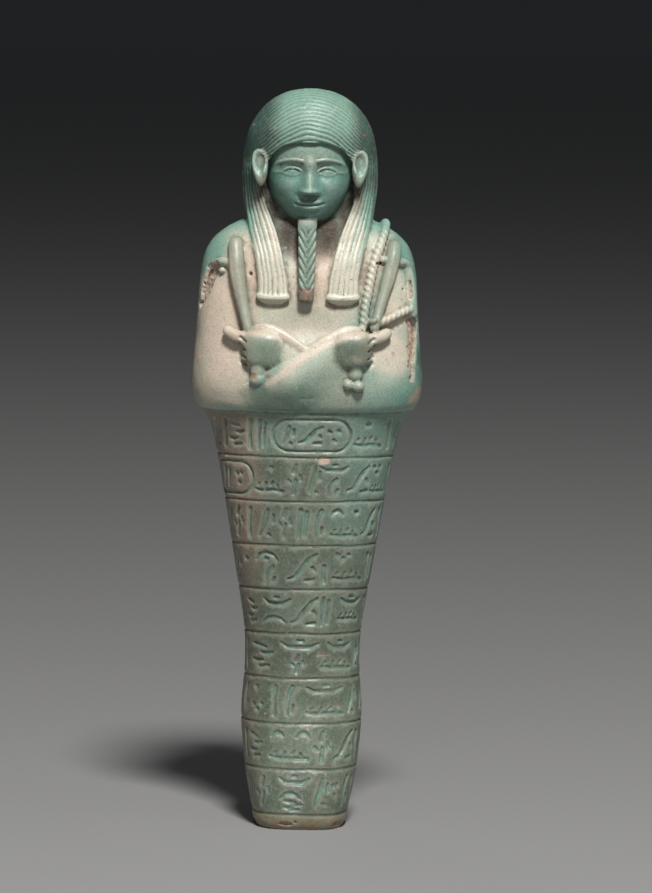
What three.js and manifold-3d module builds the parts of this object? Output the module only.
// A mummiform ushabti of glazed faience, moulded as one solid: wrapped body with folded arms, tripartite wig,
// plaited beard, hoes in both fists, a cord over the shoulder to a seed bag, and a back pillar.
// Millimetres. +Z is up, -Y is the figure's front, +X is on the right of someone facing it.
// The origin is on the underside, on the body's axis.
import * as THREE from "three";
import { mergeVertices } from "three/addons/utils/BufferGeometryUtils.js";
import Module from "manifold-3d";

const wasm = await Module();
wasm.setup();

// ---- Driving dimensions ----
const height = 185;
const armsBottom = 103.8; // where the folded arms overhang the wrapped legs
const neckTop = 153.4;
const wigBottom = 146;
const faceCentre = { y: -1.2, z: 165.6 };
const faceHalf = { width: 11.3, depth: 12.2, height: 14.6 };
const hairline = 171.8; // lower edge of the wig's band over the forehead
const pillar = { halfWidth: 5.6, back: 15.6, front: 6, top: 150 };
const beard = { top: 152.6, bottom: 132.6, halfTop: 2.45, halfBottom: 1.85 };
const lappet = { proud: 1.9, flute: 0.55, ridges: 6 };
const fist = { x: 10.9, y: -15.6, z: 120.3, halfWidth: 6, halfHeight: 5.7, depth: 4.2, fingers: 4 };
const forearm = {
  start: { x: -12.6, z: 104.2 },
  end: { x: 12.4, z: 120.8 },
  halfWidth: 7.2,
  floor: 105.6,
  proud: 2.1,
  underProud: 1.2,
  along: 9,
  across: 6,
};
const cordRadius = 0.95;
const bagProud = 1.5;

// Each row of an outline is [z, half width, depth to the front, depth to the back, squareness].
const legRows = [
  [0, 10.9, 18.3, 10.8, 3.4],
  [1.2, 11.8, 19.1, 11.2, 3.4],
  [4, 12.2, 19.4, 11.4, 3.2],
  [9.6, 13.4, 18.7, 11.2, 2.9],
  [17, 14.5, 16.6, 10.8, 2.6],
  [28, 15.25, 13.7, 10.4, 2.3],
  [40, 14.5, 11.9, 10.2, 2.15],
  [50, 14.9, 11.7, 10.5, 2.1],
  [63, 17, 12.3, 11.4, 2.1],
  [82, 20.2, 13.6, 12.2, 2.1],
  [97, 23.1, 14.7, 12.6, 2.1],
  [101.2, 24.5, 15.4, 12.8, 2.12],
  [105, 26.6, 16.3, 13.0, 2.2],
];
const torsoRows = [
  [armsBottom, 25.6, 15.7, 12.6, 2.2],
  [104.7, 27.0, 16.6, 13.1, 2.25],
  [107, 28.4, 17.7, 13.6, 2.3],
  [111.5, 29.05, 18.4, 14, 2.35],
  [118, 28.6, 17.4, 14.2, 2.35],
  [125, 28, 15.6, 14.1, 2.35],
  [132, 27.6, 13.9, 13.8, 2.35],
  [139, 27, 12.6, 13.2, 2.3],
  [143, 26.2, 11.8, 12.6, 2.3],
  [146.7, 24.4, 10.9, 11.8, 2.25],
  [149.4, 21.5, 9.9, 11, 2.2],
  [151.6, 17.6, 8.8, 10, 2.1],
  [neckTop, 12, 7.4, 8.6, 2],
];
const wigRows = [
  [wigBottom, 14.6, 4, 15.2, 2.2],
  [150, 15.6, 8, 15.6, 2.2],
  [154.5, 16.3, 9.6, 16, 2.15],
  [160, 17, 11, 16.6, 2.1],
  [166, 16.95, 12.9, 17.1, 2.05],
  [170.6, 16.4, 14.6, 17.1, 2],
  [174.8, 15.4, 14.9, 16.3, 2],
  [178.9, 13.1, 12.8, 14.2, 2],
  [182.3, 9.6, 9.6, 10.8, 2],
  [184.3, 5.4, 5.6, 6.2, 2],
  [height, 1.6, 1.7, 1.9, 2],
];

// Each row of a lappet is [z, inner edge, outer edge], from behind the ear to the square end.
const lappetRows = [
  [166, 13, 16.6],
  [160.5, 12.5, 16.7],
  [155, 10.3, 16.3],
  [149.5, 8, 15.3],
  [144, 6.4, 13.7],
  [138, 5.2, 12.7],
  [133.6, 4.6, 12.5],
  [132.8, 4.4, 12.7],
  [131.8, 4.4, 12.7],
];

// ---- Solids from three.js geometries ----

// Moves every vertex of a geometry; two vertices at one place stay together.
function reshape(geometry, move) {
  const places = geometry.attributes.position;
  const v = new THREE.Vector3();
  for (let i = 0; i < places.count; i++) {
    move(v.fromBufferAttribute(places, i));
    places.setXYZ(i, v.x, v.y, v.z);
  }
  return geometry;
}

// The same shape on the other side of the figure, with its faces turned to point outwards again.
function mirrored(geometry) {
  const order = geometry.index.array;
  for (let i = 0; i < order.length; i += 3) [order[i], order[i + 1]] = [order[i + 1], order[i]];
  return geometry.scale(-1, 1, 1);
}

function solid(geometry) {
  const bare = geometry.clone();
  for (const name of Object.keys(bare.attributes)) {
    if (name !== "position") bare.deleteAttribute(name);
  }
  const merged = mergeVertices(bare, 1e-4);
  return new wasm.Manifold(
    new wasm.Mesh({
      numProp: 3,
      vertProperties: new Float32Array(merged.attributes.position.array),
      triVerts: new Uint32Array(merged.index.array),
    }),
  );
}

// Height `z` on a smooth curve through the rows of an outline, by Hermite spans.
function smoothRow(rows, z) {
  const last = rows.length - 1;
  let i = 0;
  while (i < last - 1 && z > rows[i + 1][0]) i++;
  const [a, b] = [rows[i], rows[i + 1]];
  const [before, after] = [rows[Math.max(0, i - 1)], rows[Math.min(last, i + 2)]];
  const span = b[0] - a[0];
  const t = THREE.MathUtils.clamp((z - a[0]) / span, 0, 1);
  return a.map((value, column) => {
    const slopeA = ((b[column] - before[column]) / (b[0] - before[0])) * span;
    const slopeB = ((after[column] - a[column]) / (after[0] - a[0])) * span;
    const cube = 2 * (value - b[column]) + slopeA + slopeB;
    const square = 3 * (b[column] - value) - 2 * slopeA - slopeB;
    return ((cube * t + square) * t + slopeA) * t + value;
  });
}

// A point of a row's section: an ellipse made squarer, with its own depth in front and behind.
function sectionPoint(row, angle) {
  const [z, halfWidth, front, back, square] = row;
  const round = (c) => Math.sign(c) * Math.abs(c) ** (2 / square);
  const s = Math.sin(angle);
  return new THREE.Vector3(halfWidth * round(Math.cos(angle)), (s < 0 ? front : back) * round(s), z);
}

// An upright solid through an outline's rows, with `steps` rings to each span.
function tower(rows, around, steps) {
  const levels = rows.slice(1).flatMap((row, i) =>
    Array.from({ length: steps }, (_, k) => THREE.MathUtils.lerp(rows[i][0], row[0], k / steps)),
  );
  levels.push(rows.at(-1)[0]);
  const up = levels.length - 1;
  return reshape(new THREE.CylinderGeometry(1, 1, 1, around, up), (v) => {
    const row = smoothRow(rows, levels[Math.round((v.y + 0.5) * up)]);
    const share = Math.hypot(v.x, v.z);
    const p = sectionPoint(row, Math.atan2(-v.z, v.x));
    v.set(p.x * share, p.y * share, row[0]);
  });
}

// A bar along a smooth curve. `radius` takes the share of its length and the angle round it.
function bar(points, radius, around, along) {
  const curve = new THREE.CatmullRomCurve3(points.map((p) => new THREE.Vector3(...p)));
  const { normals, binormals } = curve.computeFrenetFrames(along);
  return reshape(new THREE.CylinderGeometry(1, 1, 1, around, along), (v) => {
    const step = Math.round((v.y + 0.5) * along);
    const size = radius(step / along, Math.atan2(v.z, v.x));
    const across = normals[step].clone().multiplyScalar(v.x * size);
    across.addScaledVector(binormals[step], -v.z * size);
    v.copy(curve.getPointAt(step / along)).add(across);
  });
}

// A rounded end at each end of a bar of this radius.
const roundEnded = (radius) => (share) => radius(share) * Math.sqrt(1 - 0.85 * Math.abs(2 * share - 1) ** 8);

function ball([x, y, z], [rx, ry, rz], around = 10, up = 8) {
  return new THREE.SphereGeometry(1, around, up).rotateX(Math.PI / 2).scale(rx, ry, rz).translate(x, y, z);
}

// ---- Body ----

function frontOf(rows, x, z) {
  const [, halfWidth, front, , square] = smoothRow(rows, z);
  return -front * (1 - Math.min(1, Math.abs(x / halfWidth)) ** square) ** (1 / square);
}
const chest = (x, z, proud = 0) => [x, frontOf(torsoRows, x, z) - proud, z];

// The forearm that rises from low on the left to the right-hand fist, as a rounded band lying on the chest.
function risingForearm(proud) {
  const { along, across, start, end, halfWidth } = forearm;
  const way = new THREE.Vector2(end.x - start.x, end.z - start.z);
  const aside = new THREE.Vector2(-way.y, way.x).normalize();
  return reshape(new THREE.BoxGeometry(1, 1, 1, along, 1, across), (v) => {
    const share = v.x + 0.5;
    const off = v.z * 2 * halfWidth * (1 - 0.22 * share);
    const x = start.x + way.x * share + aside.x * off;
    const z = start.z + way.y * share + 1.6 * share * (1 - share) + aside.y * off;
    const swell = proud * Math.min(1, 3 * share) * Math.sqrt(1 - 0.9 * Math.abs(2 * v.z) ** 4);
    const skin = frontOf(torsoRows, x, Math.max(z, forearm.floor));
    v.set(x, v.y < 0 ? skin - swell : skin + 2.5, Math.max(z, forearm.floor));
  });
}

// The right-hand fist seen from the back of the hand, its outer edge cut into four curled fingers.
function rightFist() {
  return reshape(new THREE.SphereGeometry(1, 14, 12).rotateX(Math.PI / 2), (v) => {
    const outer = Math.max(0, v.x);
    const notch = 0.7 * outer ** 3 * Math.cos(v.z * fist.fingers * Math.PI) ** 2;
    const taper = 1 - 0.28 * Math.max(0, -v.x) ** 2; // towards the wrist
    const x = Math.sign(v.x) * Math.abs(v.x) ** 0.8 * fist.halfWidth - notch;
    const z = Math.sign(v.z) * Math.abs(v.z) ** 0.85 * fist.halfHeight * taper;
    v.set(x + fist.x, v.y * fist.depth + fist.y, z + fist.z);
  });
}

// ---- Head ----

// The face's relief: how far each place stands out of the plain head, on the canon of thirds.
function faceRelief(x, z) {
  const chin = 151.6;
  const third = 7.4;
  const noseBase = chin + third;
  const brow = chin + 2 * third;
  const eye = brow - 2.2;
  const bump = (px, pz, sx, sz) => Math.exp(-(((x - px) / sx) ** 2) - ((z - pz) / sz) ** 2);
  const bridge = THREE.MathUtils.clamp((brow + 0.6 - z) / (brow - noseBase), 0, 1);
  const rise = THREE.MathUtils.smoothstep(z, noseBase - 0.6, noseBase + 0.5);
  const nose = (1.1 + 2.4 * bridge) * Math.exp(-((x / (1 + 0.9 * bridge)) ** 2)) * rise;
  let relief = z < brow + 1.5 ? nose : nose * Math.exp(-(((z - brow - 1.5) / 1.5) ** 2));
  relief += 1.2 * bump(0, noseBase - 2.5, 3, 0.7) + 1.3 * bump(0, noseBase - 4.1, 2.4, 0.8);
  relief += 1.3 * bump(0, chin + 1.6, 2.8, 1.5);
  for (const side of [-1, 1]) {
    relief += 1.1 * bump(side * 1.9, noseBase + 0.9, 0.8, 0.8); // nostril wing
    relief += 0.9 * bump(side * 4.6, brow + 0.9, 3.4, 0.7); // brow
    relief -= 1.9 * bump(side * 3.9, eye, 3.1, 1.9); // socket
    relief += 1.3 * bump(side * 4.2, eye, 2, 1); // eye
    relief += 0.8 * bump(side * 5.4, noseBase + 1.8, 2.6, 2.4); // cheek
  }
  return relief;
}

// A rounded block, fuller below than an ellipsoid, with its meridians crowded to the front.
function face() {
  return reshape(new THREE.SphereGeometry(1, 30, 30).rotateX(Math.PI / 2), (v) => {
    const turn = Math.atan2(v.x, -v.y) / Math.PI;
    const angle = Math.PI * turn * (0.45 + 0.55 * Math.abs(turn) ** 1.4);
    const toChin = Math.max(0, -v.z);
    const ring = Math.hypot(v.x, v.y);
    const block = (1 - Math.abs(v.z) ** 3.4) ** (1 / 3.4);
    const full = THREE.MathUtils.lerp(ring, block, Math.min(1, toChin * 2));
    const aside = Math.sign(angle) * Math.abs(Math.sin(angle)) ** 0.86;
    const ahead = Math.sign(Math.cos(angle)) * Math.abs(Math.cos(angle)) ** 0.86;
    const x = ring * aside * faceHalf.width * (1 - 0.12 * toChin ** 2);
    const y = -full * ahead * faceHalf.depth + faceCentre.y;
    const z = v.z * faceHalf.height + faceCentre.z;
    const facing = THREE.MathUtils.smoothstep(ring * ahead, 0.1, 0.5);
    v.set(x, y - faceRelief(x, z) * facing, z);
  });
}

function ear(side) {
  const lobe = ball([0, 0, 0], [2, 1.5, 4.6], 10, 8);
  const hollow = ball([side * 0.2, -1.3, 0.7], [1.1, 0.9, 2.9], 8, 6);
  const turned = (g) => g.rotateZ(side * 0.5).translate(side * 12.6, -9.6, 163.8);
  return solid(turned(lobe)).subtract(solid(turned(hollow)));
}

// The opening in the wig for the face: an arch over the forehead, then the lappets' inner edges.
function faceOpening() {
  const right = [[7.2, 140], [7.4, 147], [9, 152.5], [11, 157.5], [11.3, 168.4]];
  const shape = new THREE.Shape();
  shape.moveTo(...right[0]);
  right.slice(1).forEach((p) => shape.lineTo(...p));
  shape.quadraticCurveTo(6.5, hairline, 0, hairline);
  shape.quadraticCurveTo(-6.5, hairline, -right.at(-1)[0], right.at(-1)[1]);
  right.slice(0, -1).reverse().forEach(([x, z]) => shape.lineTo(-x, z));
  const depth = 22;
  return new THREE.ExtrudeGeometry(shape, { depth, bevelEnabled: false, curveSegments: 8 })
    .rotateX(Math.PI / 2)
    .translate(0, -2.4, 0);
}

// How far forward a lappet stands: on the wig at its top, proud of the chest from the shoulders down.
function lappetFront(x, z) {
  const onHead = frontOf(wigRows, x, Math.max(z, 154)) - 0.35;
  const onChest = frontOf(torsoRows, x, Math.min(z, 147)) - lappet.proud;
  return THREE.MathUtils.lerp(onChest, onHead, THREE.MathUtils.smoothstep(z, 141, 161));
}

// The right-hand lappet: a fluted strip from behind the ear to its square end on the chest.
function rightLappet() {
  const across = lappet.ridges * 2;
  const down = lappetRows.length - 1;
  return reshape(new THREE.BoxGeometry(1, 1, 1, across, 1, down), (v) => {
    const row = Math.round((0.5 - v.z) * down);
    const [z, inner, outer] = lappetRows[row];
    const x = THREE.MathUtils.lerp(inner, outer, v.x + 0.5);
    const fluted = Math.round((v.x + 0.5) * across) % 2 && row > 0 && row < down - 1;
    const front = lappetFront(x, z) + (fluted ? lappet.flute : 0);
    v.set(x, v.y < 0 ? front : front + 4.5, z);
  });
}

function beardSolid() {
  const plaits = 7;
  return reshape(new THREE.BoxGeometry(1, 1, 1, 4, 1, plaits * 3), (v) => {
    const down = 0.5 - v.z;
    const half = THREE.MathUtils.lerp(beard.halfTop, beard.halfBottom, down);
    const fold = Math.abs(v.x) * 2;
    const saw = (down * plaits + 0.55 * fold) % 1;
    const relief = v.y < 0 ? 0.28 * saw - 0.5 * fold ** 2 : 0;
    const z = THREE.MathUtils.lerp(beard.top, beard.bottom, down);
    const front = -13 - 3.8 * down ** 0.8 - relief;
    v.set(v.x * 2 * half - 0.4, v.y < 0 ? front : -9.5 - 1.5 * down, z);
  });
}

// ---- Tools, cord and bag ----

const handleRadius = roundEnded((share) => 1.75 - 0.85 * Math.min(1, Math.max(0, (share - 0.2) / 0.5)));

function tools() {
  const shapes = [
    // handles, standing out of the shoulder and going down behind each fist
    bar(
      [chest(-18.4, 147, 0.9), chest(-17.9, 139, 1), chest(-16.3, 131.5, 1.4), chest(-14.6, 125, 1.6)],
      handleRadius, 8, 9,
    ),
    bar(
      [chest(21.6, 147, 0.9), chest(20.5, 139.6, 1.1), chest(18.8, 133.5, 1.3), chest(16.2, 125, 1.6)],
      handleRadius, 8, 9,
    ),
    // what is left of the blades' upper ends
    bar([chest(-18.4, 141.6, 0.4), chest(-21.4, 141.8, 0.5), chest(-24, 140, 0.4)], () => 1.1, 6, 4),
    bar([chest(17.6, 142.6, 0.2), chest(21, 142.9, 0.4), chest(24, 142.2, 0.4)], () => 1, 6, 4),
    bar(
      [chest(24, 142.4, 0.5), chest(25.3, 138, 0.6), chest(25.9, 133, 0.6), chest(26.2, 128.4, 0.5)],
      () => 1.15, 6, 6,
    ),
    // the tie between blade and handle
    bar([chest(17.2, 127.2, 1.2), chest(21.4, 128.9, 1.6), chest(25.6, 130.4, 1)], twisted(0.95, 2), 6, 12),
  ];
  for (const side of [-1, 1]) {
    const thumb = [[15.6, 123.6, 1.6], [18.2, 124.2, 1.8], [20.6, 125.8, 1.5]];
    const points = thumb.map(([x, z, proud]) => chest(side * x, z, proud));
    shapes.push(bar(points, (share) => 1.45 - 0.5 * share, 8, 4));
  }
  // handle ends under the fists
  shapes.push(ball([-11.9, -17.9, 111.9], [2.1, 1.7, 1.6]));
  shapes.push(bar([[12.4, -17.6, 116], [12.2, -18, 111.5]], () => 1.3, 8, 3));
  shapes.push(ball([10.1, -18.2, 110.8], [1.2, 1.3, 1.3]));
  shapes.push(ball([12.9, -18, 110.4], [1.5, 1.4, 1.3]));
  return shapes.map(solid);
}

// A two-ply twist of this radius and number of turns.
function twisted(radius, turns) {
  return (share, angle) => radius * (1 + 0.2 * Math.cos(2 * (angle - share * turns * Math.PI * 2)));
}

function cordAndBag() {
  const cord = bar(
    [
      [17.4, 11.6, 144.5],
      [18.2, 9.4, 148.6],
      [19, 4.4, 151],
      [19.1, -2, 151.2],
      [18.3, -7, 149.4],
      chest(17.4, 145.8, 0.6),
      chest(16.2, 141.9, 0.6),
      chest(15.3, 136, 0.6),
      chest(14.3, 130.5, 0.7),
      chest(13.6, 125.5, 0.8),
    ],
    twisted(cordRadius, 8),
    5,
    40,
  );
  const bag = reshape(new THREE.BoxGeometry(1, 1, 1, 6, 1, 6), (v) => {
    const x = 16.8 + v.x * (8.6 + 2.6 * (0.5 - v.z));
    const z = 139 + v.z * 14;
    const behind = smoothRow(torsoRows, z);
    const skin = behind[3] * (1 - Math.abs(x / behind[1]) ** behind[4]) ** (1 / behind[4]);
    const edge = Math.max(Math.abs(v.x), Math.abs(v.z)) > 0.45 ? 0.5 : 0;
    v.set(x, v.y > 0 ? skin + bagProud - edge : skin - 2, z);
  });
  return [solid(cord), solid(bag)];
}

// ---- The whole figure ----

function backPillar() {
  const shape = new THREE.Shape();
  const { halfWidth, back, front } = pillar;
  shape.moveTo(-halfWidth - 0.6, -front);
  shape.lineTo(halfWidth + 0.6, -front);
  shape.lineTo(halfWidth, -back);
  shape.lineTo(-halfWidth, -back);
  const geometry = new THREE.ExtrudeGeometry(shape, { depth: pillar.top, bevelEnabled: false, steps: 6 });
  return reshape(geometry, (v) => v.set(-v.x, -v.y, v.z));
}

function figure() {
  const wig = solid(tower(wigRows, 28, 2)).subtract(solid(faceOpening()));
  const neck = solid(tower([[148, 9.4, 8, 8, 2], [156, 8.2, 7.6, 8, 2]], 24, 1));
  const parts = [
    solid(tower(legRows, 28, 2)),
    solid(tower(torsoRows, 32, 1)),
    solid(backPillar()),
    wig,
    neck,
    solid(face()),
    solid(beardSolid()),
    ...tools(),
    ...cordAndBag(),
    solid(risingForearm(forearm.proud)),
    solid(mirrored(risingForearm(forearm.underProud))),
  ];
  for (const side of [-1, 1]) {
    const sided = (geometry) => solid(side < 0 ? mirrored(geometry) : geometry);
    parts.push(sided(rightFist()), sided(rightLappet()), ear(side));
  }
  const whole = parts.reduce((sum, part) => sum.add(part));
  const { vertProperties, triVerts } = whole.getMesh();
  return new THREE.BufferGeometry()
    .setAttribute("position", new THREE.BufferAttribute(vertProperties, 3))
    .setIndex(new THREE.BufferAttribute(triVerts, 1));
}

const geometry = figure();
geometry.computeVertexNormals();
const faience = new THREE.MeshStandardMaterial({ color: 0x7fa695, roughness: 0.45, metalness: 0 });
const ushabti = new THREE.Mesh(geometry, faience);
ushabti.name = "ushabti_figure";
const group = new THREE.Group();
group.add(ushabti);

export default group;
